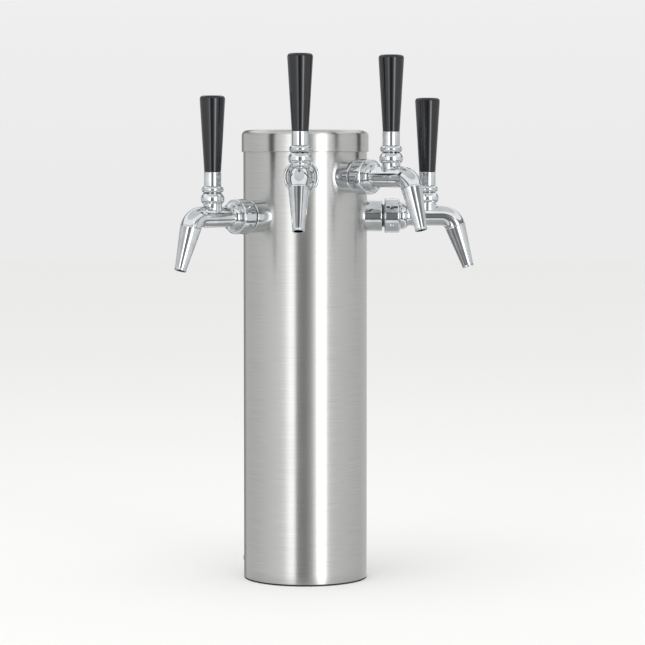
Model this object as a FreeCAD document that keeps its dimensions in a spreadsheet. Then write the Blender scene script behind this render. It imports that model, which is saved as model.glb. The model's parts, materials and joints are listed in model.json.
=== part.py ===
import FreeCAD, Part
import math
import os
import Sketcher
from FreeCAD import Vector

# A four-tap stainless draught beer tower.
# Frame: +Z up, origin where the column's axis meets the worktop, taps face -Y, millimetres.
# Each tap has a frame of its own: its origin is on the column's axis at the height of the shank,
# X runs outwards along the shank and Z runs up.

doc = FreeCAD.newDocument("BeerTapTower")
dim = doc.addObject("Spreadsheet::Sheet", "dim")

sizes = {
    # column and cap
    "column_diameter": 114.3,
    "column_wall": 1.5,
    "column_top": 410.4,
    "tower_height": 415,
    "cap_skirt": 20,
    "cap_wall": 1.2,
    "cap_gap": 0.3,
    "cap_corner": 5,
    "foam_gap": 0.1,
    "plug_bottom": 392,
    "plug_top": 409,
    "sleeve_bottom": 30,
    "sleeve_top": 310,
    "sleeve_inside_diameter": 91,
    # fixing at the base
    "gasket_thickness": 1.5,
    "gasket_diameter": 113.4,
    "collar_gap": 0.25,
    "collar_wall": 4,
    "collar_height": 26,
    "collar_floor": 5,
    "base_opening_diameter": 66,
    "bolt_circle": 84,
    "bolt_hole_diameter": 6.6,
    "screw_height": 16,
    "screw_spread": 55,
    "screw_diameter": 5,
    "screw_hole_diameter": 5.2,
    "screw_head_diameter": 9.5,
    "screw_head_height": 2.6,
    "screw_head_dome": 5.7,
    "screw_head_flat": 4.5,
    "screw_socket": 3,
    "screw_length": 5,
    # places of the taps
    "tap_spacing": 45,
    "lower_shank_height": 336.5,
    "upper_shank_rise": 36,
    # shank, along the tap's X
    "thread_gap": 0.05,
    "face_gap": 0.02,
    "shank_diameter": 22.2,
    "shank_inner_end": 40,
    "shank_outer_end": 77.5,
    "shank_lip_diameter": 25.8,
    "shank_lip": 2.45,
    "shank_bore": 6.4,
    "shank_hole_gap": 0.3,
    "shank_mouth_diameter": 18,
    "shank_mouth_depth": 3,
    "saddle_inner_face": 50.9,
    "saddle_diameter": 30,
    "lock_nut_inner_face": 45,
    "lock_nut_thickness": 5.8,
    "lock_nut_corners": 31.2,
    "flange_outer_face": 71.3,
    "flange_diameter": 29.4,
    "flange_edge": 1.5,
    "nut_inner_face": 73.2,
    "nut_outer_face": 87.2,
    "nut_diameter": 32,
    "nut_lip": 1.8,
    "nut_edge": 1.7,
    "nut_spanner_hole": 4,
    "nut_spanner_depth": 1.6,
    "seal_thickness": 1.5,
    # beer line
    "line_diameter": 8,
    "line_bore": 6.5,
    "line_in_shank": 8,
    "line_entry_gap": 0.2,
    "line_drop_radius": 18,
    "line_bend": 17.5,
    "line_spread_top": 112,
    "line_spread_bottom": 84,
    "line_spread_bend": 45,
    "line_tail_radius": 24,
    "line_tail_height": 15,
    # faucet body
    "tail_thread_diameter": 26.4,
    "chamber_diameter": 17.2,
    "seat_reach": 93.5,
    "seat_bore": 11,
    "shoulder_start": 87.8,
    "shoulder_diameter": 25.4,
    "shoulder_bulge": 6,
    "shoulder_waist": 94,
    "shoulder_waist_diameter": 20.6,
    "shoulder_hollow": 8,
    "shoulder_end": 97.5,
    "barrel_diameter": 18.8,
    "barrel_bore": 13,
    "bend_start": 125.9,
    "bend_radius": 13,
    "bend_bore": 11,
    "spout_tilt": 18,
    "spout_socket_diameter": 14.2,
    "spout_socket_depth": 6.5,
    "lever_reach": 112.6,
    "boss_diameter": 16.5,
    "boss_top": 12,
    "boss_foot": 2.2,
    "boss_bore_floor": 4,
    "boss_bore_diameter": 9.46,
    "neck_diameter": 14.8,
    "neck_top": 14,
    # spout
    "spout_length": 40,
    "spout_seam_edge": 0.3,
    "spout_shoulder": 1.5,
    "spout_shoulder_bend": 3,
    "spout_tip_diameter": 11,
    "spout_tip_bore": 8.2,
    "spout_tip_edge": 0.4,
    "spout_tip_band": 1.4,
    "spout_tip_step": 0.6,
    "spout_tip_waist": 10.5,
    "spout_spigot": 5,
    "spout_seal_section": 1.4,
    # lever, from its pivot
    "pivot_rise": 13.5,
    "lever_travel": 30,
    "ball_diameter": 11,
    "ball_gap": 0.12,
    "finger_diameter": 3.6,
    "finger_tip_diameter": 4.8,
    "finger_play": 0.6,
    "finger_side_play": 0.7,
    "finger_slot_floor": 4.5,
    "finger_slot_roof": 2.5,
    "lever_neck_diameter": 5.6,
    "lever_thread_diameter": 9.4,
    "lever_thread_end": 30,
    "lever_thread_edge": 0.4,
    "lever_thread_start": 0.2,
    "bonnet_diameter": 21,
    "bonnet_lip": 17.3,
    "bonnet_bulge": 4,
    "bonnet_waist": 1.4,
    "bonnet_dome": 11.3,
    "bonnet_room": 0.3,
    "bonnet_slot_play": 0.4,
    "dome_gap": 0.35,
    "washer_bottom": 0.6,
    "washer_top": 2.45,
    "washer_diameter": 13.8,
    "knob_lip": 8.2,
    "knob_top": 14,
    "knob_bulge": 3.2,
    "knob_taper": 0.2,
    "ferrule_top": 26.7,
    "ferrule_diameter": 15.4,
    "ferrule_edge": 0.5,
    "ferrule_floor": 31,
    "ferrule_plug_diameter": 11,
    "ferrule_plug_top": 37,
    "handle_length": 68,
    "handle_bottom_diameter": 15.1,
    "handle_top_diameter": 22.8,
    "handle_edge": 3,
    "handle_foot_edge": 0.6,
    "handle_bore_play": 1,
    # plunger
    "plunger_rod_diameter": 5,
    "plunger_head_diameter": 12,
    "plunger_head": 2.4,
    "plunger_seat_gap": 0.05,
    "seat_washer_diameter": 15.6,
    "seat_washer_thickness": 2,
    "yoke_diameter": 10.4,
    "yoke_half_length": 7,
    "finger_hole_diameter": 5.5,
    "finger_hole_floor": 3,
    "finger_relief_start": 1,
    "finger_relief_end": 4.4,
    "finger_relief_floor": 2.4,
    "guide_inner_face": 121.3,
    "guide_thickness": 3,
    "guide_diameter": 12.84,
    "guide_flute": 3.4,
}
for row, (alias, number) in enumerate(sizes.items(), start=1):
    dim.set(f"A{row}", alias.replace("_", " "))
    dim.set(f"B{row}", str(number))
    dim.setAlias(f"B{row}", alias)
doc.recompute()

nodes = []
along_x = "rotation(vector(0; 1; 0); 90)"
upright = "rotation(vector(0; 0; 1); 0)"
past_wall = "dim.column_diameter * 0.55"
spout_lean = "rotation(vector(0; 1; 0); -dim.spout_tilt)"


def size(expression):
    return float(dim.evalExpression(expression))


def node(part, label):
    """Names a finished sub-part."""
    part.Label = label
    nodes.append(part)
    return part


def put(part, frame, x="0", z="0", turn=upright, y="0"):
    """Places a part in a frame, or in the tower's own frame where frame is empty."""
    place = f"placement(vector({x}; {y}; {z}); {turn})"
    if frame:
        place = f"{frame.Name}.Placement * {place}"
    part.setExpression("Placement", place)
    return part


# ---------- shapes that many sub-parts share ----------

def arc_between(start, end, radius):
    """Arc of less than half a turn: a positive radius turns left, a negative one turns right."""
    first, last = (start, end) if radius > 0 else (end, start)
    chord = last - first
    height = math.sqrt(radius ** 2 - (chord.Length / 2) ** 2)
    left = Vector(-chord.y, chord.x, 0).normalize()
    centre = (first + last) * 0.5 + left * height
    circle = Part.Circle(centre, Vector(0, 0, 1), abs(radius))
    angles = [math.atan2(point.y - centre.y, point.x - centre.x) for point in (first, last)]
    return Part.ArcOfCircle(circle, *angles)


def outline(body, points):
    """Closed sketch on the body's XZ plane. A third entry of a point bends the edge that leaves it."""
    sketch = body.newObject("Sketcher::SketchObject", body.Name + "_outline")
    plane = next(item for item in body.Origin.OriginFeatures if item.Role == "XZ_Plane")
    sketch.AttachmentSupport = [(plane, "")]
    sketch.MapMode = "FlatFace"
    corners = [Vector(size(point[0]), size(point[1]), 0) for point in points]
    ends = []
    for index, point in enumerate(points):
        start, end = corners[index], corners[(index + 1) % len(points)]
        if len(point) == 2:
            sketch.addGeometry(Part.LineSegment(start, end), False)
            ends.append((1, 2))
        else:
            radius = size(point[2])
            sketch.addGeometry(arc_between(start, end, radius), False)
            ends.append((1, 2) if radius > 0 else (2, 1))
    for index in range(len(points)):
        follower = (index + 1) % len(points)
        joined = Sketcher.Constraint("Coincident", index, ends[index][1], follower, ends[follower][0])
        sketch.addConstraint(joined)
    for index, point in enumerate(points):
        for kind, expression in (("DistanceX", point[0]), ("DistanceY", point[1])):
            rule = Sketcher.Constraint(kind, -1, 1, index, ends[index][0], size(expression))
            sketch.setExpression(f"Constraints[{sketch.addConstraint(rule)}]", expression)
        if len(point) == 3:
            bend = point[2].lstrip("-")
            rule = sketch.addConstraint(Sketcher.Constraint("Radius", index, size(bend)))
            sketch.setExpression(f"Constraints[{rule}]", bend)
    return sketch


def lathe(name, points, axis):
    """Turned body. The outline is (X, radius) about H_Axis and (radius, Z) about V_Axis."""
    body = doc.addObject("PartDesign::Body", name)
    sketch = outline(body, points)
    turned = body.newObject("PartDesign::Revolution", name + "_turned")
    turned.Profile = (sketch, [""])
    turned.ReferenceAxis = (sketch, [axis])
    turned.Angle = 360
    return body


def slab(name, points, width):
    """Flat body in the XZ plane, half its width on each side of it."""
    body = doc.addObject("PartDesign::Body", name)
    sketch = outline(body, points)
    pad = body.newObject("PartDesign::Pad", name + "_pad")
    pad.Profile = (sketch, [""])
    pad.Midplane = True
    pad.setExpression("Length", width)
    return body


def rod(name, radius, height):
    cylinder = doc.addObject("Part::Cylinder", name)
    cylinder.setExpression("Radius", radius)
    cylinder.setExpression("Height", height)
    return cylinder


def ball(name, radius):
    sphere = doc.addObject("Part::Sphere", name)
    sphere.setExpression("Radius", radius)
    return sphere


def elbow(name, ring, section, sweep):
    torus = doc.addObject("Part::Torus", name)
    torus.setExpression("Radius1", ring)
    torus.setExpression("Radius2", section)
    torus.setExpression("Angle3", sweep)
    return torus


def joined(name, shapes):
    fuse = doc.addObject("Part::MultiFuse", name)
    fuse.Shapes = shapes
    return fuse


def cut(name, base, tools):
    result = doc.addObject("Part::Cut", name)
    result.Base = base
    result.Tool = tools[0] if len(tools) == 1 else joined(name + "_tools", tools)
    return result


def group(name, parts):
    """Identical pieces that share one node, each a solid of its own."""
    compound = doc.addObject("Part::Compound", name)
    compound.Links = parts
    return node(compound, name)


# ---------- frames of the four taps, counted from the left as the user faces them ----------

class Tap:
    def __init__(self, name, steps, height):
        self.name = name
        self.frame = doc.addObject("App::Placement", "frame_" + name)
        turn = f"rotation(vector(0; 0; 1); {steps} * dim.tap_spacing - 90)"
        put(self.frame, None, z=height, turn=turn)
        self.height = height

    def label(self, piece):
        return f"{piece}_{self.name}"


lower = "dim.lower_shank_height"
upper = "dim.lower_shank_height + dim.upper_shank_rise"
taps = [
    Tap("outer_left", -1.5, lower),
    Tap("inner_left", -0.5, upper),
    Tap("inner_right", 0.5, upper),
    Tap("outer_right", 1.5, lower),
]


# ---------- column, cap and base ----------

def ring_body(name, inner, outer, bottom, top):
    return lathe(name, [(inner, bottom), (outer, bottom), (outer, top), (inner, top)], "V_Axis")


def bolt_holes(name):
    holes = []
    for quarter in range(4):
        hole = rod(f"{name}_{quarter + 1}", "dim.bolt_hole_diameter / 2", "dim.collar_height")
        angle = 45 + 90 * quarter
        put(hole, None, x=f"dim.bolt_circle / 2 * cos({angle})", y=f"dim.bolt_circle / 2 * sin({angle})")
        holes.append(hole)
    return holes


def screw_turns():
    """The base is screwed from the back, so the front of the column stays clean."""
    return [f"rotation(vector(0; 0; 1); 90 + {side} * dim.screw_spread)" for side in (-1, 0, 1)]


def radial_holes(name, radius):
    holes = []
    for index, turn in enumerate(screw_turns()):
        hole = rod(f"{name}_{index + 1}", radius, past_wall)
        holes.append(put(hole, None, z="dim.screw_height", turn=f"{turn} * {along_x}"))
    return holes


def make_column():
    outside = "dim.column_diameter / 2"
    inside = f"{outside} - dim.column_wall"
    blank = ring_body("column_blank", inside, outside, "dim.gasket_thickness", "dim.column_top")
    holes = radial_holes("column_screw_hole", "dim.screw_hole_diameter / 2")
    for tap in taps:
        radius = "dim.shank_diameter / 2 + dim.shank_hole_gap"
        hole = rod(tap.label("shank_hole"), radius, past_wall)
        holes.append(put(hole, tap.frame, turn=along_x))
    node(cut("column_cut", blank, holes), "column_tube")


def make_cap():
    inner = "dim.column_diameter / 2 + dim.cap_gap"
    outer = f"{inner} + dim.cap_wall"
    roof = "dim.tower_height - dim.cap_wall"
    inner_bend = "dim.cap_corner - dim.cap_wall"
    points = [
        ("0", roof),
        (f"{inner} - ({inner_bend})", roof, f"-({inner_bend})"),
        (inner, "dim.tower_height - dim.cap_corner"),
        (inner, "dim.tower_height - dim.cap_skirt"),
        (outer, "dim.tower_height - dim.cap_skirt"),
        (outer, "dim.tower_height - dim.cap_corner", "dim.cap_corner"),
        (f"{outer} - dim.cap_corner", "dim.tower_height"),
        ("0", "dim.tower_height"),
    ]
    node(lathe("cap_body", points, "V_Axis"), "top_cap")
    foam = "dim.column_diameter / 2 - dim.column_wall - dim.foam_gap"
    node(ring_body("plug_body", "0", foam, "dim.plug_bottom", "dim.plug_top"), "cap_foam_plug")
    bore = "dim.sleeve_inside_diameter / 2"
    sleeve = ring_body("sleeve_body", bore, foam, "dim.sleeve_bottom", "dim.sleeve_top")
    node(sleeve, "insulation_sleeve")


def make_base():
    opening = "dim.base_opening_diameter / 2"
    gasket = ring_body("gasket_ring", opening, "dim.gasket_diameter / 2", "0", "dim.gasket_thickness")
    node(cut("gasket_cut", gasket, bolt_holes("gasket_hole")), "base_gasket")

    outside = "dim.column_diameter / 2 - dim.column_wall - dim.collar_gap"
    floor_top = "dim.gasket_thickness + dim.collar_floor"
    points = [
        (opening, "dim.gasket_thickness"),
        (outside, "dim.gasket_thickness"),
        (outside, "dim.collar_height"),
        (f"{outside} - dim.collar_wall", "dim.collar_height"),
        (f"{outside} - dim.collar_wall", floor_top),
        (opening, floor_top),
    ]
    blank = lathe("collar_blank", points, "V_Axis")
    holes = bolt_holes("collar_hole") + radial_holes("collar_tap_hole", "dim.screw_diameter / 2")
    node(cut("collar_cut", blank, holes), "mounting_collar")


def make_screws():
    shaft = "dim.screw_diameter / 2 - dim.thread_gap"
    head = "dim.screw_head_diameter / 2"
    points = [
        ("0", "-dim.screw_length"),
        (shaft, "-dim.screw_length"),
        (shaft, "dim.face_gap"),
        (head, "dim.face_gap", "dim.screw_head_dome"),
        ("dim.screw_head_flat / 2", "dim.screw_head_height"),
        ("0", "dim.screw_head_height"),
    ]
    screws = []
    for index, turn in enumerate(screw_turns()):
        blank = lathe(f"screw_{index + 1}", points, "V_Axis")
        socket = doc.addObject("Part::Prism", f"screw_socket_{index + 1}")
        socket.Polygon = 6
        socket.setExpression("Circumradius", "dim.screw_socket / 2 / cos(30)")
        socket.setExpression("Height", "dim.screw_head_height")
        place = f"{turn} * {along_x}"
        angle = f"(90 + {index - 1} * dim.screw_spread)"
        x, y = (f"dim.column_diameter / 2 * {word}{angle}" for word in ("cos", "sin"))
        put(blank, None, x=x, y=y, z="dim.screw_height", turn=place)
        socket.setExpression(
            "Placement",
            f"{blank.Name}.Placement * placement(vector(0; 0; dim.screw_head_height / 2); {upright})",
        )
        screws.append(cut(f"screw_cut_{index + 1}", blank, [socket]))
    group("collar_screws", screws)


# ---------- shank and what clamps it to the column ----------

def bored(diameter):
    return f"{diameter} / 2 + dim.thread_gap"


def make_shank(tap):
    body = "dim.shank_diameter / 2"
    lip = "dim.shank_outer_end - dim.shank_lip"
    mouth = "dim.shank_outer_end - dim.shank_mouth_depth"
    socket_end = "dim.shank_inner_end + dim.line_in_shank"
    points = [
        ("dim.shank_inner_end", bored("dim.line_diameter")),
        ("dim.shank_inner_end", body),
        (lip, body),
        (lip, "dim.shank_lip_diameter / 2"),
        ("dim.shank_outer_end", "dim.shank_lip_diameter / 2"),
        ("dim.shank_outer_end", "dim.shank_mouth_diameter / 2"),
        (mouth, "dim.shank_mouth_diameter / 2"),
        (mouth, "dim.shank_bore / 2"),
        (socket_end, "dim.shank_bore / 2"),
        (socket_end, bored("dim.line_diameter")),
    ]
    node(put(lathe(tap.label("shank_body"), points, "H_Axis"), tap.frame), tap.label("shank"))


def make_lock_nut(tap):
    blank = doc.addObject("Part::Prism", tap.label("lock_nut_blank"))
    blank.Polygon = 6
    blank.setExpression("Circumradius", "dim.lock_nut_corners / 2")
    blank.setExpression("Height", "dim.lock_nut_thickness")
    hole = rod(tap.label("lock_nut_hole"), bored("dim.shank_diameter"), "dim.column_diameter / 2")
    put(blank, tap.frame, x="dim.lock_nut_inner_face", turn=along_x)
    put(hole, tap.frame, turn=along_x)
    return cut(tap.label("lock_nut"), blank, [hole])


def make_saddle(tap):
    outer = "dim.saddle_diameter / 2"
    points = [
        ("dim.saddle_inner_face", bored("dim.shank_diameter")),
        ("dim.saddle_inner_face", outer),
        ("dim.column_diameter / 2", outer),
        ("dim.column_diameter / 2", bored("dim.shank_diameter")),
    ]
    blank = put(lathe(tap.label("saddle_blank"), points, "H_Axis"), tap.frame)
    inside = "dim.column_diameter / 2 - dim.column_wall"
    wall = rod(tap.label("column_inside"), inside, "dim.saddle_diameter * 2")
    put(wall, tap.frame, z="-dim.saddle_diameter")
    common = doc.addObject("Part::Common", tap.label("saddle_washer"))
    common.Base = blank
    common.Tool = wall
    return common


def make_flange(tap):
    start = "dim.column_diameter / 2 - dim.flange_edge * 2"
    outer = "dim.flange_diameter / 2"
    points = [
        (start, bored("dim.shank_diameter")),
        ("dim.flange_outer_face", bored("dim.shank_diameter")),
        ("dim.flange_outer_face", f"{outer} - dim.flange_edge", "dim.flange_edge"),
        ("dim.flange_outer_face - dim.flange_edge", outer),
        (start, outer),
    ]
    blank = put(lathe(tap.label("flange_blank"), points, "H_Axis"), tap.frame)
    wall = rod(tap.label("column_outside"), "dim.column_diameter / 2", "dim.flange_diameter * 2")
    put(wall, tap.frame, z="-dim.flange_diameter")
    return cut(tap.label("flange"), blank, [wall])


def make_coupling_nut(tap):
    outer = "dim.nut_diameter / 2"
    thread = bored("dim.tail_thread_diameter")
    lip_end = "dim.nut_inner_face + dim.nut_lip"
    points = [
        ("dim.nut_inner_face", bored("dim.shank_diameter")),
        (lip_end, bored("dim.shank_diameter")),
        (lip_end, thread),
        ("dim.nut_outer_face", thread),
        ("dim.nut_outer_face", f"{outer} - dim.nut_edge", "dim.nut_edge"),
        ("dim.nut_outer_face - dim.nut_edge", outer),
        ("dim.nut_inner_face + dim.nut_edge", outer, "dim.nut_edge"),
        ("dim.nut_inner_face", f"{outer} - dim.nut_edge"),
    ]
    blank = put(lathe(tap.label("nut_blank"), points, "H_Axis"), tap.frame)
    holes = []
    for sixth in range(6):
        hole = rod(tap.label(f"spanner_hole_{sixth + 1}"), "dim.nut_spanner_hole / 2", "dim.nut_diameter")
        turn = f"rotation(vector(1; 0; 0); {60 * sixth})"
        depth = f"({outer} - dim.nut_spanner_depth)"
        put(
            hole,
            tap.frame,
            x="(dim.nut_inner_face + dim.nut_outer_face) / 2",
            y=f"-{depth} * sin({60 * sixth})",
            z=f"{depth} * cos({60 * sixth})",
            turn=turn,
        )
        holes.append(hole)
    return cut(tap.label("coupling_nut"), blank, holes)


def make_coupling_washer(tap):
    outer = "dim.shank_lip_diameter / 2"
    inner = "dim.shank_mouth_diameter / 2"
    end = "dim.shank_outer_end + dim.seal_thickness"
    points = [("dim.shank_outer_end", inner), (end, inner), (end, outer), ("dim.shank_outer_end", outer)]
    return put(lathe(tap.label("coupling_washer"), points, "H_Axis"), tap.frame)


# ---------- beer line: one bent stainless tube from the shank to the base ----------

def rounded_path(points, radii):
    """Straight runs joined by tangent arcs."""
    edges = []
    start = points[0]
    for before, corner, after, radius in zip(points, points[1:], points[2:], radii):
        into = (corner - before).normalize()
        out = (after - corner).normalize()
        half_turn = into.getAngle(out) / 2
        reach = radius * math.tan(half_turn)
        first = corner - into * reach
        last = corner + out * reach
        middle = corner + (out - into).normalize() * radius * (1 / math.cos(half_turn) - 1)
        edges += [Part.LineSegment(start, first).toShape(), Part.Arc(first, middle, last).toShape()]
        start = last
    edges.append(Part.LineSegment(start, points[-1]).toShape())
    return Part.Wire(edges)


def make_beer_line(tap):
    drop = size("dim.line_drop_radius")
    tail = size("dim.line_tail_radius")
    height = size(tap.height)
    entry = size("dim.shank_inner_end + dim.line_in_shank - dim.line_entry_gap")
    points = [
        Vector(entry, 0, 0),
        Vector(drop, 0, 0),
        Vector(drop, 0, size("dim.line_spread_top") - height),
        Vector(tail, 0, size("dim.line_spread_bottom") - height),
        Vector(tail, 0, size("dim.line_tail_height") - height),
    ]
    spread_bend = size("dim.line_spread_bend")
    path = rounded_path(points, [size("dim.line_bend"), spread_bend, spread_bend])
    tubes = []
    for diameter in ("dim.line_diameter", "dim.line_bore"):
        section = Part.Wire(Part.makeCircle(size(diameter) / 2, points[0], Vector(1, 0, 0)))
        tubes.append(path.makePipeShell([section], True, True))
    line = doc.addObject("Part::Feature", tap.label("line_tube"))
    line.Shape = tubes[0].cut(tubes[1])
    node(put(line, tap.frame), tap.label("beer_line"))


# ---------- faucet body and spout ----------

def lathe_outer_body(tap):
    thread = "dim.tail_thread_diameter / 2"
    shoulder = "dim.shoulder_diameter / 2"
    barrel = "dim.barrel_diameter / 2"
    start = "dim.shank_outer_end + dim.seal_thickness"
    points = [
        (start, "0"),
        ("dim.bend_start", "0"),
        ("dim.bend_start", barrel),
        ("dim.shoulder_end", barrel, "-dim.shoulder_hollow"),
        ("dim.shoulder_waist", "dim.shoulder_waist_diameter / 2", "dim.shoulder_bulge"),
        ("dim.shoulder_start", shoulder),
        ("dim.nut_outer_face", thread),
        (start, thread),
    ]
    return put(lathe(tap.label("body_blank"), points, "H_Axis"), tap.frame)


def lathe_flow_way(tap):
    start = "dim.shank_outer_end"
    points = [
        (start, "0"),
        ("dim.bend_start", "0"),
        ("dim.bend_start", "dim.barrel_bore / 2"),
        ("dim.shoulder_end", "dim.barrel_bore / 2"),
        ("dim.shoulder_end", "dim.seat_bore / 2"),
        ("dim.seat_reach", "dim.seat_bore / 2"),
        ("dim.seat_reach", "dim.chamber_diameter / 2"),
        (start, "dim.chamber_diameter / 2"),
    ]
    return put(lathe(tap.label("flow_way"), points, "H_Axis"), tap.frame)


def bend_sweep():
    return "90 - dim.spout_tilt"


def in_bend(part, tap):
    """The torus starts at the barrel's end and turns down towards the spout."""
    turn = "rotation(vector(1; 1; 1); -120)"
    return put(part, tap.frame, x="dim.bend_start", z="-dim.bend_radius", turn=turn)


def at_spout(part, tap, along="0"):
    """Puts a part on the spout's axis, along millimetres back into the elbow from the seam."""
    seam_x = f"dim.bend_start + dim.bend_radius * sin({bend_sweep()})"
    seam_z = f"-dim.bend_radius * (1 - cos({bend_sweep()}))"
    x = f"{seam_x} - ({along}) * sin(dim.spout_tilt)"
    z = f"{seam_z} + ({along}) * cos(dim.spout_tilt)"
    return put(part, tap.frame, x=x, z=z, turn=spout_lean)


def at_pivot(part, tap, rise="0"):
    return put(part, tap.frame, x="dim.lever_reach", z=f"dim.pivot_rise + {rise}")


def finger_slot(tap):
    """Room under the ball for the lever's finger, which swings back towards the column."""
    swing = "tan(dim.lever_travel)"
    play = "dim.finger_diameter / 2 + dim.finger_play"
    low = "-dim.pivot_rise + dim.finger_slot_floor"
    high = "-dim.finger_slot_roof"
    points = [
        (f"({high}) * {swing} - ({play})", high),
        (f"({low}) * {swing} - ({play})", low),
        (play, low),
        (play, high),
    ]
    slot = slab(tap.label("finger_slot"), points, "dim.finger_diameter + 2 * dim.finger_side_play")
    return at_pivot(slot, tap)


def lever_seat(tap):
    """Stepped bore of the boss: a narrow stretch below the ball and the ball's own bore above it."""
    ball_radius = "dim.ball_diameter / 2 + dim.ball_gap"
    narrow = "dim.boss_bore_diameter / 2"
    floor = "-dim.pivot_rise + dim.boss_bore_floor"
    step = f"-sqrt(({ball_radius})^2 - ({narrow})^2)"
    points = [
        ("0", floor),
        (narrow, floor),
        (narrow, step, ball_radius),
        (ball_radius, "0"),
        (ball_radius, "dim.neck_top"),
        ("0", "dim.neck_top"),
    ]
    return at_pivot(lathe(tap.label("lever_seat"), points, "V_Axis"), tap)


def make_faucet_body(tap):
    barrel = "dim.barrel_diameter / 2"
    boss = rod(tap.label("boss"), "dim.boss_diameter / 2", "dim.boss_top")
    neck = rod(tap.label("neck"), "dim.neck_diameter / 2", "dim.neck_top")
    put(boss, tap.frame, x="dim.lever_reach")
    put(neck, tap.frame, x="dim.lever_reach")
    bend = in_bend(elbow(tap.label("bend"), "dim.bend_radius", barrel, bend_sweep()), tap)
    blank = joined(tap.label("body_joined"), [lathe_outer_body(tap), bend, boss, neck])
    doc.recompute()

    foot = doc.addObject("Part::Fillet", tap.label("body_filleted"))
    foot.Base = blank
    round_foot = size("dim.boss_foot")
    foot.Edges = [(index, round_foot, round_foot) for index in boss_foot_edges(blank, tap)]

    bend_bore = elbow(tap.label("bend_bore"), "dim.bend_radius", "dim.bend_bore / 2", bend_sweep())
    in_bend(bend_bore, tap)
    socket = rod(tap.label("spout_socket"), "dim.spout_socket_diameter / 2", "dim.spout_socket_depth * 2")
    at_spout(socket, tap, along="-dim.spout_socket_depth")
    tools = [lathe_flow_way(tap), bend_bore, socket, lever_seat(tap), finger_slot(tap)]
    node(cut(tap.label("body_cut"), foot, tools), tap.label("faucet_body"))


def boss_foot_edges(blank, tap):
    """The curve where the boss meets the barrel lies on both cylinders."""
    to_local = tap.frame.Placement.inverse()
    boss = size("dim.boss_diameter / 2")
    barrel = size("dim.barrel_diameter / 2")
    found = []
    for index, edge in enumerate(blank.Shape.Edges, start=1):
        points = [to_local.multVec(point) for point in edge.discretize(7)]
        on_boss = all(abs(math.hypot(p.x - size("dim.lever_reach"), p.y) - boss) < 0.01 for p in points)
        on_barrel = all(abs(math.hypot(p.y, p.z) - barrel) < 0.01 for p in points)
        if on_boss and on_barrel:
            found.append(index)
    return found


def make_spout(tap):
    tip = "-dim.spout_length"
    outer = "dim.barrel_diameter / 2"
    tip_outer = "dim.spout_tip_diameter / 2"
    band = f"{tip} + dim.spout_tip_band"
    spigot = "dim.spout_socket_diameter / 2 - dim.thread_gap"
    points = [
        ("dim.bend_bore / 2", "dim.spout_spigot"),
        ("dim.bend_bore / 2", "0"),
        ("dim.spout_tip_bore / 2", tip),
        (f"{tip_outer} - dim.spout_tip_edge", tip),
        (tip_outer, f"{tip} + dim.spout_tip_edge"),
        (tip_outer, band),
        ("dim.spout_tip_waist / 2", f"{band} + dim.spout_tip_step"),
        (outer, "-dim.spout_shoulder", "dim.spout_shoulder_bend"),
        (f"{outer} - dim.spout_seam_edge", "0"),
        (spigot, "0"),
        (spigot, "dim.spout_spigot"),
    ]
    node(at_spout(lathe(tap.label("spout_body"), points, "V_Axis"), tap), tap.label("spout"))


def make_spout_seal(tap):
    section = "dim.spout_seal_section / 2"
    ring = f"dim.spout_socket_diameter / 2 - {section} - dim.thread_gap"
    seal = elbow(tap.label("spout_seal"), ring, section, "360")
    return at_spout(seal, tap, along=f"dim.spout_spigot + {section} + dim.face_gap")


# ---------- lever, its bonnet and the handle; heights are from the pivot ----------

def make_ball_washer(tap):
    ball_radius = "(dim.ball_diameter / 2 + dim.ball_gap)"
    points = [
        (f"sqrt({ball_radius}^2 - dim.washer_bottom^2)", "dim.washer_bottom"),
        ("dim.washer_diameter / 2", "dim.washer_bottom"),
        ("dim.washer_diameter / 2", "dim.washer_top"),
        (f"sqrt({ball_radius}^2 - dim.washer_top^2)", "dim.washer_top", f"-{ball_radius}"),
    ]
    return at_pivot(lathe(tap.label("ball_washer"), points, "V_Axis"), tap)


def make_bonnet(tap):
    outer = "dim.bonnet_diameter / 2"
    thread = bored("dim.neck_diameter")
    bottom = "dim.boss_top - dim.pivot_rise + dim.face_gap"
    roof = "dim.washer_top + dim.thread_gap"
    points = [
        (thread, bottom),
        ("dim.bonnet_lip / 2", bottom, "dim.bonnet_bulge"),
        (outer, "dim.bonnet_waist"),
        (outer, f"sqrt(dim.bonnet_dome^2 - ({outer})^2)", "dim.bonnet_dome"),
        ("0", "dim.bonnet_dome"),
        ("0", roof),
        (thread, roof),
    ]
    blank = at_pivot(lathe(tap.label("bonnet_blank"), points, "V_Axis"), tap)
    room = at_pivot(ball(tap.label("ball_room"), "dim.ball_diameter / 2 + dim.bonnet_room"), tap)
    back = "dim.lever_neck_diameter / 2 + dim.bonnet_slot_play"
    lean = "dim.lever_travel"
    swung = f"dim.bonnet_dome * sin({lean}) + dim.lever_neck_diameter / 2 * cos({lean})"
    front = f"{swung} + dim.bonnet_slot_play"
    slot = [(f"-({back})", "0"), (front, "0"), (front, "dim.knob_top"), (f"-({back})", "dim.knob_top")]
    mouth = at_pivot(slab(tap.label("bonnet_mouth"), slot, f"2 * ({back})"), tap)
    node(cut(tap.label("bonnet_cut"), blank, [room, mouth]), tap.label("bonnet"))


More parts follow.
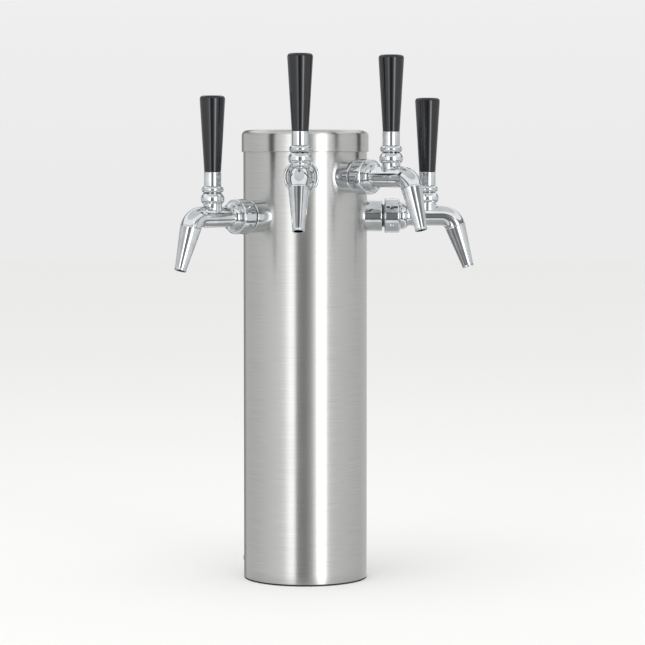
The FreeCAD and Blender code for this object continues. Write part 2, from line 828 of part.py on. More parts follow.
def make_lever(tap):
    ball_radius = "dim.ball_diameter / 2"
    finger = "dim.finger_diameter / 2"
    tip = "dim.finger_tip_diameter / 2"
    neck = "dim.lever_neck_diameter / 2"
    thread = "dim.lever_thread_diameter / 2"
    neck_end = "dim.bonnet_dome + dim.dome_gap"
    points = [
        ("0", f"-dim.pivot_rise - {tip}", tip),
        (finger, f"-dim.pivot_rise + sqrt(({tip})^2 - ({finger})^2)"),
        (finger, f"-sqrt(({ball_radius})^2 - ({finger})^2)", ball_radius),
        (neck, f"sqrt(({ball_radius})^2 - ({neck})^2)"),
        (neck, f"{neck_end} + dim.lever_thread_start"),
        (thread, f"{neck_end} + dim.lever_thread_start + dim.lever_thread_edge"),
        (thread, "dim.lever_thread_end"),
        ("0", "dim.lever_thread_end"),
    ]
    node(at_pivot(lathe(tap.label("lever_body"), points, "V_Axis"), tap), tap.label("lever"))


def make_lever_collar(tap):
    under = "(dim.bonnet_dome + dim.dome_gap)"
    bore = bored("dim.lever_thread_diameter")
    points = [
        (bore, f"sqrt({under}^2 - ({bore})^2)", f"-{under}"),
        ("dim.knob_lip", f"sqrt({under}^2 - dim.knob_lip^2)", "dim.knob_bulge"),
        ("dim.knob_lip - dim.knob_taper", "dim.knob_top"),
        (bore, "dim.knob_top"),
    ]
    collar = at_pivot(lathe(tap.label("lever_ring"), points, "V_Axis"), tap)
    node(collar, tap.label("lever_collar"))


def make_ferrule(tap):
    outer = "dim.ferrule_diameter / 2"
    bore = bored("dim.lever_thread_diameter")
    plug = "dim.ferrule_plug_diameter / 2"
    points = [
        (bore, "dim.knob_top"),
        (f"{outer} - dim.ferrule_edge", "dim.knob_top", "dim.ferrule_edge"),
        (outer, "dim.knob_top + dim.ferrule_edge"),
        (outer, "dim.ferrule_top - dim.ferrule_edge", "dim.ferrule_edge"),
        (f"{outer} - dim.ferrule_edge", "dim.ferrule_top"),
        (plug, "dim.ferrule_top"),
        (plug, "dim.ferrule_plug_top"),
        ("0", "dim.ferrule_plug_top"),
        ("0", "dim.ferrule_floor"),
        (bore, "dim.ferrule_floor"),
    ]
    node(at_pivot(lathe(tap.label("ferrule_body"), points, "V_Axis"), tap), tap.label("handle_ferrule"))


def make_handle(tap):
    bore = bored("dim.ferrule_plug_diameter")
    low = "dim.handle_bottom_diameter / 2"
    high = "dim.handle_top_diameter / 2"
    depth = "dim.ferrule_plug_top - dim.ferrule_top + dim.handle_bore_play"
    points = [
        (bore, "0"),
        (f"{low} - dim.handle_foot_edge", "0", "dim.handle_foot_edge"),
        (low, "dim.handle_foot_edge"),
        (high, "dim.handle_length - dim.handle_edge", "dim.handle_edge"),
        (f"{high} - dim.handle_edge", "dim.handle_length"),
        ("0", "dim.handle_length"),
        ("0", depth),
        (bore, depth),
    ]
    body = lathe(tap.label("handle_body"), points, "V_Axis")
    node(at_pivot(body, tap, rise="dim.ferrule_top + dim.face_gap"), tap.label("handle"))


# ---------- plunger that the lever's finger moves, and the washer that closes the tap ----------

def make_plunger(tap):
    rod_radius = "dim.plunger_rod_diameter / 2"
    head = "dim.plunger_head_diameter / 2"
    head_end = "dim.seat_reach - dim.seat_washer_thickness - dim.plunger_seat_gap"
    yoke_start = "dim.lever_reach - dim.yoke_half_length"
    yoke_end = "dim.lever_reach + dim.yoke_half_length"
    guide_end = "dim.guide_inner_face + dim.guide_thickness"
    points = [
        (f"{head_end} - dim.plunger_head", "0"),
        (guide_end, "0"),
        (guide_end, "dim.guide_diameter / 2"),
        ("dim.guide_inner_face", "dim.guide_diameter / 2"),
        ("dim.guide_inner_face", rod_radius),
        (yoke_end, rod_radius),
        (yoke_end, "dim.yoke_diameter / 2"),
        (yoke_start, "dim.yoke_diameter / 2"),
        (yoke_start, rod_radius),
        (head_end, rod_radius),
        (head_end, head),
        (f"{head_end} - dim.plunger_head", head),
    ]
    blank = put(lathe(tap.label("plunger_blank"), points, "H_Axis"), tap.frame)
    hole = rod(tap.label("finger_hole"), "dim.finger_hole_diameter / 2", "dim.yoke_diameter")
    put(hole, tap.frame, x="dim.lever_reach", z="-dim.finger_hole_floor")
    flare = [
        ("-dim.finger_relief_start", "dim.finger_relief_floor"),
        ("dim.finger_relief_end", "dim.finger_relief_floor"),
        ("dim.finger_relief_end", "dim.yoke_diameter"),
        ("-dim.finger_relief_start", "dim.yoke_diameter"),
    ]
    relief = slab(tap.label("finger_relief"), flare, "dim.finger_hole_diameter")
    put(relief, tap.frame, x="dim.lever_reach")
    flutes = []
    for quarter in range(4):
        angle = 45 + 90 * quarter
        name = tap.label(f"guide_flute_{quarter + 1}")
        flute = rod(name, "dim.guide_flute / 2", "dim.guide_thickness * 2")
        put(
            flute,
            tap.frame,
            x="dim.guide_inner_face - dim.guide_thickness / 2",
            y=f"dim.guide_diameter / 2 * cos({angle})",
            z=f"dim.guide_diameter / 2 * sin({angle})",
            turn=along_x,
        )
        flutes.append(flute)
    node(cut(tap.label("plunger_cut"), blank, [hole, relief] + flutes), tap.label("plunger"))


def make_seat_washer(tap):
    outer = "dim.seat_washer_diameter / 2"
    bore = bored("dim.plunger_rod_diameter")
    end = "dim.seat_reach - dim.plunger_seat_gap"
    start = f"{end} - dim.seat_washer_thickness"
    points = [(start, bore), (end, bore), (end, outer), (start, outer)]
    washer = put(lathe(tap.label("seat_ring"), points, "H_Axis"), tap.frame)
    node(washer, tap.label("seat_washer"))


make_column()
make_cap()
make_base()
make_screws()
doc.recompute()
for tap in taps:
    make_shank(tap)
    make_beer_line(tap)
    make_faucet_body(tap)
    make_spout(tap)
    make_bonnet(tap)
    make_lever(tap)
    make_lever_collar(tap)
    make_ferrule(tap)
    make_handle(tap)
    make_plunger(tap)
    make_seat_washer(tap)
group("shank_flanges", [make_flange(tap) for tap in taps])
group("coupling_nuts", [make_coupling_nut(tap) for tap in taps])
group("coupling_washers", [make_coupling_washer(tap) for tap in taps])
group("lock_nuts", [make_lock_nut(tap) for tap in taps])
group("saddle_washers", [make_saddle(tap) for tap in taps])
group("ball_washers", [make_ball_washer(tap) for tap in taps])
group("spout_seals", [make_spout_seal(tap) for tap in taps])
doc.recompute()

failed = [item.Name for item in doc.Objects if {"Invalid", "Error"} & set(item.State)]
if failed:
    raise RuntimeError(f"objects that failed: {failed}")
for part in nodes:
    if part.Shape.isNull() or not part.Shape.isValid() or not part.Shape.Solids:
        raise RuntimeError(f"{part.Label} has no valid shape")
os.makedirs("parts", exist_ok=True)
for part in nodes:
    part.Shape.exportStep(f"parts/{part.Label}.step")
print(f"{len(nodes)} sub-parts written")
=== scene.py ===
import bpy
import bmesh
import json
import math
from mathutils import Matrix, Vector


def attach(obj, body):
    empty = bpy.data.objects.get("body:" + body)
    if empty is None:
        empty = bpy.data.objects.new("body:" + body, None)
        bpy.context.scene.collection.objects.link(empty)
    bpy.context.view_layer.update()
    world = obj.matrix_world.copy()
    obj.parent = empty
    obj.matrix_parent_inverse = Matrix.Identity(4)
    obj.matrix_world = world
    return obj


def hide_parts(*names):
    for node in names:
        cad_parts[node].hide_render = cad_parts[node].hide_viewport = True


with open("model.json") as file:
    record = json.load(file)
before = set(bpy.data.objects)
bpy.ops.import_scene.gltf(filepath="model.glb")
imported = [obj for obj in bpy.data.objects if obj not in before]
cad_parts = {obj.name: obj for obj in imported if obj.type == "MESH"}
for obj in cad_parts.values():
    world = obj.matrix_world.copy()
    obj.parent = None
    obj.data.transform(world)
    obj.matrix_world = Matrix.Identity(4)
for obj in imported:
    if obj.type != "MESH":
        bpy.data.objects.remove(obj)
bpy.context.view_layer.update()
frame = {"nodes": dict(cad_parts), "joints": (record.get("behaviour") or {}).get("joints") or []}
nodes = frame["nodes"]
scene = bpy.context.scene
mm = 0.001
up = Vector((0, 0, 1))


# frames that the pieces are placed with

class Tap:
    def __init__(self, joint, pivotRise=13.5):
        self.name = joint["name"].removeprefix("pull_")
        pivot = Vector(joint["pos_m"])
        side = Vector(joint["axis"])
        outward = side.cross(up)
        height = pivot.z - pivotRise * mm
        turn = Matrix((outward, side, up)).transposed().to_4x4()
        # X runs out along the shank, from the column's axis
        self.frame = Matrix.Translation((0, 0, height)) @ turn
        self.shank = self.frame @ Matrix.Rotation(math.pi / 2, 4, "Y")  # Z runs out along the shank
        self.pivot = Matrix.Translation(pivot) @ turn  # Z runs up the lever
        self.lever = joint["child"]

    def node(self, piece):
        return f"{piece}_{self.name}"


taps = [Tap(joint) for joint in frame["joints"] if joint["type"] == "hinge"]


# shaping

def bow(start, end, radius, steps=10):
    # a round stretch without its last point; a positive radius turns left
    first, last = (start, end) if radius > 0 else (end, start)
    chord = last - first
    rise = math.sqrt(radius ** 2 - (chord.length / 2) ** 2)
    centre = (first + last) / 2 + Vector((-chord.y, chord.x)).normalized() * rise
    begin = math.atan2(start.y - centre.y, start.x - centre.x)
    finish = math.atan2(end.y - centre.y, end.x - centre.x)
    sweep = (finish - begin + math.pi) % (2 * math.pi) - math.pi
    angles = [begin + sweep * step / steps for step in range(steps)]
    return [centre + Vector((math.cos(angle), math.sin(angle))) * abs(radius) for angle in angles]


def turned(outline, segments=96):
    # outline: (radius, height) in mm, counter-clockwise; a third entry bends the edge that leaves the point
    path = []
    for here, after in zip(outline, outline[1:] + outline[:1]):
        start, end = Vector(here[:2]), Vector(after[:2])
        path += bow(start, end, here[2]) if len(here) == 3 else [start]
    form = bmesh.new()
    rim = [form.verts.new((point.x * mm, 0, point.y * mm)) for point in path]
    pairs = [pair for pair in zip(rim, rim[1:] + rim[:1]) if pair[0].co.x + pair[1].co.x > 0]
    edges = [form.edges.new(pair) for pair in pairs]
    full = 2 * math.pi
    bmesh.ops.spin(form, geom=rim + edges, axis=up, angle=full, steps=segments, use_merge=True)
    bmesh.ops.remove_doubles(form, verts=form.verts, dist=0.001 * mm)
    bmesh.ops.recalc_face_normals(form, faces=form.faces)
    return form


def soften(form, width, segments=3, above=40):
    sharp = [edge for edge in form.edges if edge.calc_face_angle(0) > math.radians(above)]
    bmesh.ops.bevel(form, geom=sharp, offset=width * mm, segments=segments, profile=0.5,
                    affect="EDGES", material=-1, clamp_overlap=True)
    return form


def drill(form, place, radius, start, end, segments=48):
    # a plug for carving, along the place's Z from start to end
    middle = place @ Matrix.Translation((0, 0, (start + end) / 2 * mm))
    bmesh.ops.create_cone(form, cap_ends=True, segments=segments, radius1=radius * mm,
                          radius2=radius * mm, depth=(end - start) * mm, matrix=middle)


def asObject(form, name, place=Matrix()):
    bmesh.ops.transform(form, matrix=place, verts=form.verts)
    mesh = bpy.data.meshes.new(name)
    form.to_mesh(mesh)
    form.free()
    made = bpy.data.objects.new(name, mesh)
    scene.collection.objects.link(made)
    return made


def carve(piece, plugs):
    cutter = asObject(plugs, "cutter")
    cutting = piece.modifiers.new("cutting", "BOOLEAN")
    cutting.object = cutter
    cutting.solver = "EXACT"
    whole = piece.evaluated_get(bpy.context.evaluated_depsgraph_get())
    result = bpy.data.meshes.new_from_object(whole)
    piece.modifiers.clear()
    piece.data = result
    bpy.data.objects.remove(cutter)


def dress(piece, slot, body, *replaced, creased=40):
    mesh = piece.data
    mesh.materials.clear()
    mesh.materials.append(finishes[slot])
    mesh.polygons.foreach_set("use_smooth", [True] * len(mesh.polygons))
    mesh.set_sharp_from_angle(angle=math.radians(creased))
    if not mesh.has_custom_normals:
        weighted = piece.modifiers.new("weightedNormals", "WEIGHTED_NORMAL")
        weighted.keep_sharp = True
    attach(piece, body)
    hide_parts(*replaced)


print("materials")


def srgb(code):
    values = [int(code[at:at + 2], 16) / 255 for at in (1, 3, 5)]
    return [v / 12.92 if v <= 0.04045 else ((v + 0.055) / 1.055) ** 2.4 for v in values] + [1]


def addNode(tree, kind, links={}, sockets={}, **settings):
    made = tree.nodes.new("ShaderNode" + kind)
    for name, value in settings.items():
        setattr(made, name, value)
    for name, value in sockets.items():
        made.inputs[name].default_value = value
    for name, source in links.items():
        tree.links.new(source, made.inputs[name])
    return made


def newMaterial(name, shader):
    material = bpy.data.materials.new(name)
    material.use_nodes = True
    surface = material.node_tree.nodes["Principled BSDF"]
    for socket, value in shader.items():
        surface.inputs[socket].default_value = value
    return material, material.node_tree, surface


def finishSurface(tree, surface, look, tint, wear, relief, wearFrom=(0.3, 0.7)):
    # the patterns that set the colour, the roughness and the height
    ramp = addNode(tree, "ValToRGB", {"Fac": tint})
    first, last = ramp.color_ramp.elements
    first.position, last.position = 0.3, 0.7
    first.color, last.color = srgb(look["dark"]), srgb(look["light"])
    tree.links.new(ramp.outputs["Color"], surface.inputs["Base Color"])
    ends = dict(zip(("From Min", "From Max", "To Min", "To Max"), wearFrom + look["rough"]))
    rough = addNode(tree, "MapRange", {"Value": wear}, ends)
    tree.links.new(rough.outputs["Result"], surface.inputs["Roughness"])
    bump = addNode(tree, "Bump", {"Height": relief}, {"Distance": look["depth"] * mm})
    tree.links.new(bump.outputs["Normal"], surface.inputs["Normal"])


def brushedTube():
    # 304 stainless tube, belt-brushed round the column: mirror-like across, so edges of the softboxes stay
    # crisp, and smeared up and down by the grain; it is drawn coarser than a belt leaves it, so that it shows
    look = {
        "grain": 0.3, "length": 36, "cloud": 60, "dark": "#BCBCBA", "light": "#CECECC",
        "rough": (0.27, 0.32), "depth": 0.0008, "shader": {"Metallic": 1, "Anisotropic": 0.8},
    }
    material, tree, surface = newMaterial("brushedStainless", look["shader"])
    strokes = addNode(tree, "UVMap", uv_map="grain").outputs["UV"]
    stretch = (1 / look["grain"], 1 / look["length"], 1)
    fine = addNode(tree, "Mapping", {"Vector": strokes}, {"Scale": stretch})
    lines = addNode(tree, "TexNoise", {"Vector": fine.outputs["Vector"]}, {"Scale": 1, "Detail": 3})
    place = addNode(tree, "TexCoord").outputs["Object"]
    cloud = addNode(tree, "TexNoise", {"Vector": place}, {"Scale": 1 / (look["cloud"] * mm), "Detail": 2})
    stroke = lines.outputs["Fac"]
    both = addNode(tree, "Math", {0: stroke, 1: cloud.outputs["Fac"]}, operation="ADD")
    finishSurface(tree, surface, look, stroke, both.outputs["Value"], stroke, wearFrom=(0.7, 1.3))
    along = addNode(tree, "Tangent", direction_type="UV_MAP", uv_map="grain")
    tree.links.new(along.outputs["Tangent"], surface.inputs["Tangent"])
    return material


def polishedSteel():
    # 304 stainless castings, mop-polished: a bright mirror with a faint ripple and wiping haze
    look = {
        "ripple": 6, "haze": 9, "dark": "#C8CBCD", "light": "#DCDFE1", "rough": (0.03, 0.075),
        "depth": 0.005, "shader": {"Metallic": 1},
    }
    material, tree, surface = newMaterial("polishedStainless", look["shader"])
    place = addNode(tree, "TexCoord").outputs["Object"]
    haze = addNode(tree, "TexNoise", {"Vector": place}, {"Scale": 1 / (look["haze"] * mm), "Detail": 6})
    ripple = addNode(tree, "TexNoise", {"Vector": place}, {"Scale": 1 / (look["ripple"] * mm), "Detail": 1})
    cloudy = haze.outputs["Fac"]
    finishSurface(tree, surface, look, cloudy, cloudy, ripple.outputs["Fac"], wearFrom=(0.35, 0.7))
    return material


def machinedSteel():
    # stainless turned on a lathe and left as cut: satin, with fine tool marks
    look = {
        "marks": 0.5, "dark": "#8C8C88", "light": "#B9B9B4", "rough": (0.2, 0.36), "depth": 0.01,
        "shader": {"Metallic": 1},
    }
    material, tree, surface = newMaterial("machinedStainless", look["shader"])
    place = addNode(tree, "TexCoord").outputs["Object"]
    marks = addNode(tree, "TexNoise", {"Vector": place}, {"Scale": 1 / (look["marks"] * mm), "Detail": 4})
    cut = marks.outputs["Fac"]
    finishSurface(tree, surface, look, cut, cut, cut)
    return material


def castAluminium():
    # sand-cast aluminium: dull and grainy, with small pits
    look = {
        "sand": 0.8, "pits": 3, "dark": "#84857F", "light": "#A7A8A3", "rough": (0.42, 0.6), "depth": 0.08,
        "shader": {"Metallic": 1},
    }
    material, tree, surface = newMaterial("castAluminium", look["shader"])
    place = addNode(tree, "TexCoord").outputs["Object"]
    sand = addNode(tree, "TexNoise", {"Vector": place}, {"Scale": 1 / (look["sand"] * mm), "Detail": 5})
    pits = addNode(tree, "TexVoronoi", {"Vector": place}, {"Scale": 1 / (look["pits"] * mm)})
    edges = {"From Min": 0, "From Max": 0.18, "To Min": 0, "To Max": 0.6}
    hollow = addNode(tree, "MapRange", {"Value": pits.outputs["Distance"]}, edges)
    grains = sand.outputs["Fac"]
    height = addNode(tree, "Math", {0: grains, 1: hollow.outputs["Result"]}, operation="ADD")
    finishSurface(tree, surface, look, grains, grains, height.outputs["Value"])
    return material


def blackPhenolic():
    # phenolic resin moulded in a polished die: deep black, with soft-edged highlights, faint flow and dust
    look = {
        "flow": 14, "drawn": 0.25, "dust": 0.6, "dark": "#06070A", "light": "#11131A", "rough": (0.09, 0.15),
        "depth": 0.002, "shader": {"IOR": 1.55},
    }
    material, tree, surface = newMaterial("mouldedPhenolic", look["shader"])
    place = addNode(tree, "TexCoord").outputs["Object"]
    drawn = addNode(tree, "Mapping", {"Vector": place}, {"Scale": (1, 1, look["drawn"])}).outputs["Vector"]
    flow = addNode(tree, "TexNoise", {"Vector": drawn}, {"Scale": 1 / (look["flow"] * mm), "Detail": 4})
    dust = addNode(tree, "TexNoise", {"Vector": place}, {"Scale": 1 / (look["dust"] * mm), "Detail": 2})
    swirl, specks = flow.outputs["Fac"], dust.outputs["Fac"]
    both = addNode(tree, "Math", {0: swirl, 1: specks}, operation="ADD")
    finishSurface(tree, surface, look, swirl, both.outputs["Value"], specks, wearFrom=(0.7, 1.3))
    return material


def grainyPolymer(name, look):
    material, tree, surface = newMaterial(name, look["shader"])
    place = addNode(tree, "TexCoord").outputs["Object"]
    grain = addNode(tree, "TexNoise", {"Vector": place}, {"Scale": 1 / (look["grain"] * mm), "Detail": 4})
    grains = height = grain.outputs["Fac"]
    if "cells" in look:
        cells = addNode(tree, "TexVoronoi", {"Vector": place}, {"Scale": 1 / (look["cells"] * mm)})
        sunk = addNode(tree, "Math", {0: grains, 1: cells.outputs["Distance"]}, operation="ADD")
        height = sunk.outputs["Value"]
    finishSurface(tree, surface, look, grains, grains, height)
    return material


finishes = {
    "brushed_stainless": brushedTube(),
    "polished_stainless": polishedSteel(),
    "machined_stainless": machinedSteel(),
    "cast_collar": castAluminium(),
    "black_handle": blackPhenolic(),
    # nitrile rubber, moulded and dusty: nearly no shine
    "seal_rubber": grainyPolymer("mouldedNitrile", {
        "grain": 0.5, "dark": "#121212", "light": "#242423", "rough": (0.62, 0.8), "depth": 0.02,
        "shader": {"IOR": 1.52}}),
    # nylon, turned: dark with a low waxy shine
    "black_nylon": grainyPolymer("turnedNylon", {
        "grain": 0.3, "dark": "#161618", "light": "#26262A", "rough": (0.4, 0.52), "depth": 0.01,
        "shader": {"IOR": 1.53}}),
    # closed-cell polyethylene foam, cut: dull, with small open cells
    "insulating_foam": grainyPolymer("cutFoam", {
        "grain": 2, "cells": 1.2, "dark": "#2A2A2C", "light": "#3C3C3F", "rough": (0.8, 0.95), "depth": 0.3,
        "shader": {"IOR": 1.5}}),
}
for node in nodes.values():
    for slot in node.material_slots:
        slot.material = finishes[slot.material.name.split(".")[0]]


print("column")
column = {"radius": 57.15, "wall": 1.5, "foot": 1.5, "top": 410.4, "edge": 0.25, "segments": 192}
holes = {
    "shank": 11.4, "shankClear": 13, "screw": 2.6, "screwClear": 4, "screwHeight": 16, "screwSpread": 55,
    "plugIn": 15, "plugOut": 5,
}


def grainMap(mesh):
    # u runs along the outline and v round the column, in mm, so that the grain goes round it
    grain = mesh.uv_layers.new(name="grain")
    for face in mesh.polygons:
        middle = math.atan2(face.center.y, face.center.x)
        for loop in face.loop_indices:
            corner = mesh.vertices[mesh.loops[loop].vertex_index].co
            radius = math.hypot(corner.x, corner.y)
            swing = math.atan2(corner.y, corner.x) - middle
            swing = (swing + math.pi) % (2 * math.pi) - math.pi
            around = middle + (swing if radius > 0.01 * mm else 0)
            grain.data[loop].uv = ((corner.z - radius) / mm, around * column["radius"])


def roundNormals(mesh, square=0.97, level=0.02):
    # the wall shades as a true cylinder, whatever the holes do to its faces
    normals = []
    for face in mesh.polygons:
        for loop in face.loop_indices:
            corner = mesh.vertices[mesh.loops[loop].vertex_index].co
            radial = Vector((corner.x, corner.y, 0)).normalized()
            facing = face.normal.dot(radial)
            onWall = abs(facing) > square and abs(face.normal.z) < level
            normals.append(radial * math.copysign(1, facing) if onWall else face.normal.copy())
    mesh.normals_split_custom_set(normals)


def makeColumn():
    inner, outer = column["radius"] - column["wall"], column["radius"]
    shankHeights = sorted({round(tap.frame.translation.z / mm, 3) for tap in taps})
    rings = [holes["screwHeight"] + side * holes["screwClear"] for side in (-1, 1)]
    rings += [height + side * holes["shankClear"] for height in shankHeights for side in (-1, 1)]
    outline = [(inner, column["foot"]), (outer, column["foot"])]
    outline += [(outer, height) for height in rings]
    outline += [(outer, column["top"]), (inner, column["top"])]
    outline += [(inner, height) for height in reversed(rings)]
    form = soften(turned(outline, column["segments"]), column["edge"])
    tube = asObject(form, "columnTube")
    plugs = bmesh.new()
    for tap in taps:
        drill(plugs, tap.shank, holes["shank"], outer - holes["plugIn"], outer + holes["plugOut"])
    for place in screwPlaces():
        drill(plugs, place, holes["screw"], -holes["plugOut"], holes["plugOut"], segments=24)
    carve(tube, plugs)
    tube.data.polygons.foreach_set("use_smooth", [True] * len(tube.data.polygons))
    roundNormals(tube.data)
    grainMap(tube.data)
    dress(tube, "brushed_stainless", "tower", "column_tube")


def screwPlaces():
    # Z points out of the column at each screw; they sit round the back
    places = []
    for side in (-1, 0, 1):
        angle = math.radians(90 + side * holes["screwSpread"])
        outward = Vector((math.cos(angle), math.sin(angle), 0))
        turn = Matrix((up.cross(outward), up, outward)).transposed().to_4x4()
        centre = outward * column["radius"] + up * holes["screwHeight"]
        places.append(Matrix.Translation(centre * mm) @ turn)
    return places


makeColumn()

print("cap")
cap = {"radius": 58.65, "wall": 1.2, "corner": 5, "bottom": 395, "top": 415, "rim": 12, "edge": 0.4}


def makeCap():
    outer, inner = cap["radius"], cap["radius"] - cap["wall"]
    bend = cap["corner"] - cap["wall"]
    roof, flat = cap["top"] - cap["wall"], outer - cap["corner"]
    middle = flat - cap["rim"]
    outline = [
        (inner, cap["bottom"]), (outer, cap["bottom"]), (outer, cap["top"] - cap["corner"], cap["corner"]),
        (flat, cap["top"]), (middle, cap["top"]), (0, cap["top"]), (0, roof), (middle, roof),
        (flat, roof, -bend), (inner, cap["top"] - cap["corner"]),
    ]
    form = soften(turned(outline, column["segments"]), cap["edge"])
    lid = asObject(form, "topCap")
    grainMap(lid.data)
    dress(lid, "brushed_stainless", "tower", "top_cap")


makeCap()

print("collar screws")
screw = {
    "shaft": 2.45, "length": 5, "head": 4.75, "under": 0.02, "dome": 5.7, "flat": 2.25, "height": 2.6,
    "socket": 3, "edge": 0.12,
}


def makeScrews():
    for number, place in enumerate(screwPlaces(), start=1):
        outline = [
            (0, -screw["length"]), (screw["shaft"], -screw["length"]), (screw["shaft"], screw["under"]),
            (screw["head"], screw["under"], screw["dome"]), (screw["flat"], screw["height"]),
            (0, screw["height"]),
        ]
        piece = asObject(soften(turned(outline, segments=48), screw["edge"]), f"collarScrew_{number}", place)
        plugs = bmesh.new()
        corners = screw["socket"] / 2 / math.cos(math.radians(30))
        drill(plugs, place, corners, screw["height"] / 2, screw["height"] * 2, segments=6)
        carve(piece, plugs)
        dress(piece, "polished_stainless", "tower", "collar_screws")


makeScrews()

print("shanks, flanges and nuts")
shank = {
    "radius": 11.1, "inner": 40, "outer": 77.5, "pitch": 1.8, "tooth": 0.95, "crest": 0.3, "root": 0.6,
    "threadEnd": 73.6, "lip": 12.9, "lipStart": 75.05, "mouth": 9, "mouthStart": 74.5, "bore": 3.2,
    "socket": 4.05, "socketEnd": 48,
}
flange = {"bore": 11.15, "radius": 14.7, "start": 54.15, "face": 71.3, "edge": 1.5, "bevel": 0.2, "plug": 30}
nut = {
    "bore": 11.15, "thread": 13.25, "radius": 16, "start": 73.2, "face": 87.2, "lip": 1.8, "edge": 1.7,
    "bevel": 0.2, "holeRadius": 2, "holeDepth": 1.6, "holeMargin": 0.6, "holes": 6, "plugOut": 3,
}


def makeShank(tap):
    radius, lip, mouth = shank["radius"], shank["lip"], shank["mouth"]
    outline = [(shank["socket"], shank["inner"])]
    turns = int((shank["threadEnd"] - shank["inner"]) / shank["pitch"])
    for turn in range(turns):
        crest = shank["inner"] + turn * shank["pitch"]
        outline += [(radius, crest), (radius, crest + shank["crest"]),
                    (radius - shank["tooth"], crest + shank["pitch"] * shank["root"])]
    outline += [
        (radius, shank["threadEnd"]), (radius, shank["lipStart"]), (lip, shank["lipStart"]),
        (lip, shank["outer"]), (mouth, shank["outer"]), (mouth, shank["mouthStart"]),
        (shank["bore"], shank["mouthStart"]),
        (shank["bore"], shank["socketEnd"]), (shank["socket"], shank["socketEnd"]),
    ]
    piece = asObject(turned(outline, segments=64), tap.node("threadedShank"), tap.shank)
    dress(piece, "machined_stainless", "tower", tap.node("shank"))


def makeFlange(tap):
    bore, radius, edge = flange["bore"], flange["radius"], flange["edge"]
    outline = [
        (bore, flange["start"]), (radius, flange["start"]), (radius, flange["face"] - edge, edge),
        (radius - edge, flange["face"]), (bore, flange["face"]),
    ]
    form = soften(turned(outline), flange["bevel"])
    piece = asObject(form, tap.node("shankFlange"), tap.shank)
    plugs = bmesh.new()
    level = Matrix.Translation((0, 0, tap.frame.translation.z))
    drill(plugs, level, column["radius"], -flange["plug"], flange["plug"], segments=column["segments"])
    carve(piece, plugs)
    dress(piece, "polished_stainless", "tower", "shank_flanges")


def makeNut(tap):
    radius, start, face, edge = nut["radius"], nut["start"], nut["face"], nut["edge"]
    middle = (start + face) / 2
    band = nut["holeRadius"] + nut["holeMargin"]
    outline = [
        (nut["bore"], start), (radius - edge, start, edge), (radius, start + edge), (radius, middle - band),
        (radius, middle + band), (radius, face - edge, edge), (radius - edge, face), (nut["thread"], face),
        (nut["thread"], start + nut["lip"]), (nut["bore"], start + nut["lip"]),
    ]
    form = soften(turned(outline, segments=120), nut["bevel"])
    piece = asObject(form, tap.node("couplingNut"), tap.shank)
    plugs = bmesh.new()
    centre = tap.shank @ Matrix.Translation((0, 0, middle * mm))
    outward = Matrix.Rotation(-math.pi / 2, 4, "Y")
    for count in range(nut["holes"]):
        turn = Matrix.Rotation(count * 2 * math.pi / nut["holes"], 4, "Z") @ outward
        floor, end = radius - nut["holeDepth"], radius + nut["plugOut"]
        drill(plugs, centre @ turn, nut["holeRadius"], floor, end, segments=32)
    carve(piece, plugs)
    dress(piece, "polished_stainless", "tower", "coupling_nuts")


for tap in taps:
    makeShank(tap)
    makeFlange(tap)
    makeNut(tap)

print("spouts")
spout = {
    "bendStart": 125.9, "bendRadius": 13, "tilt": 18, "length": 40, "top": 9.1, "shoulder": 9.4,
    "shoulderDrop": 1.5, "shoulderRound": 3, "tip": 5.5, "tipEdge": 0.4, "tipBand": 1.4, "waist": 5.25,
    "waistHeight": 2, "topBore": 5.5, "tipBore": 4.1, "spigot": 7.05, "spigotLength": 5, "bevel": 0.12,
}


def makeSpout(tap):
    end, tip, edge, spigot = -spout["length"], spout["tip"], spout["tipEdge"], spout["spigot"]
    outline = [
        (spout["tipBore"], end), (tip - edge, end), (tip, end + edge), (tip, end + spout["tipBand"]),
        (spout["waist"], end + spout["waistHeight"]),
        (spout["shoulder"], -spout["shoulderDrop"], spout["shoulderRound"]), (spout["top"], 0), (spigot, 0),
        (spigot, spout["spigotLength"]), (spout["topBore"], spout["spigotLength"]), (spout["topBore"], 0),
    ]
    sweep = math.radians(90 - spout["tilt"])
    seam = Vector((
        spout["bendStart"] + spout["bendRadius"] * math.sin(sweep), 0,
        -spout["bendRadius"] * (1 - math.cos(sweep)),
    ))
    lean = Matrix.Rotation(-math.radians(spout["tilt"]), 4, "Y")
    place = tap.frame @ Matrix.Translation(seam * mm) @ lean
    piece = asObject(soften(turned(outline, segments=80), spout["bevel"]), tap.node("pouringSpout"), place)
    dress(piece, "polished_stainless", "tower", tap.node("spout"))


for tap in taps:
    makeSpout(tap)

print("lever collars, ferrules and handles")
ring = {"bore": 4.75, "under": 11.65, "lip": 8.2, "bulge": 3.2, "top": 14, "taper": 0.2, "bevel": 0.2}
ferrule = {
    "bore": 4.75, "bottom": 14, "top": 26.7, "radius": 7.7, "edge": 0.5, "plug": 5.5, "plugTop": 37,
    "floor": 31, "bevel": 0.12,
}
handle = {
    "bottom": 26.72, "length": 68, "foot": 7.55, "head": 11.4, "footEdge": 0.6, "headEdge": 3, "bore": 5.55,
    "boreDepth": 11.3, "bevel": 0.15,
}


def makeRing(tap):
    # its foot is hollowed round the pivot, so it clears the bonnet's dome as it swings
    bore, lip, under = ring["bore"], ring["lip"], ring["under"]
    outline = [
        (bore, math.sqrt(under ** 2 - bore ** 2), -under),
        (lip, math.sqrt(under ** 2 - lip ** 2), ring["bulge"]),
        (lip - ring["taper"], ring["top"]), (bore, ring["top"]),
    ]
    piece = asObject(soften(turned(outline), ring["bevel"]), tap.node("leverRing"), tap.pivot)
    dress(piece, "polished_stainless", tap.lever, tap.node("lever_collar"))


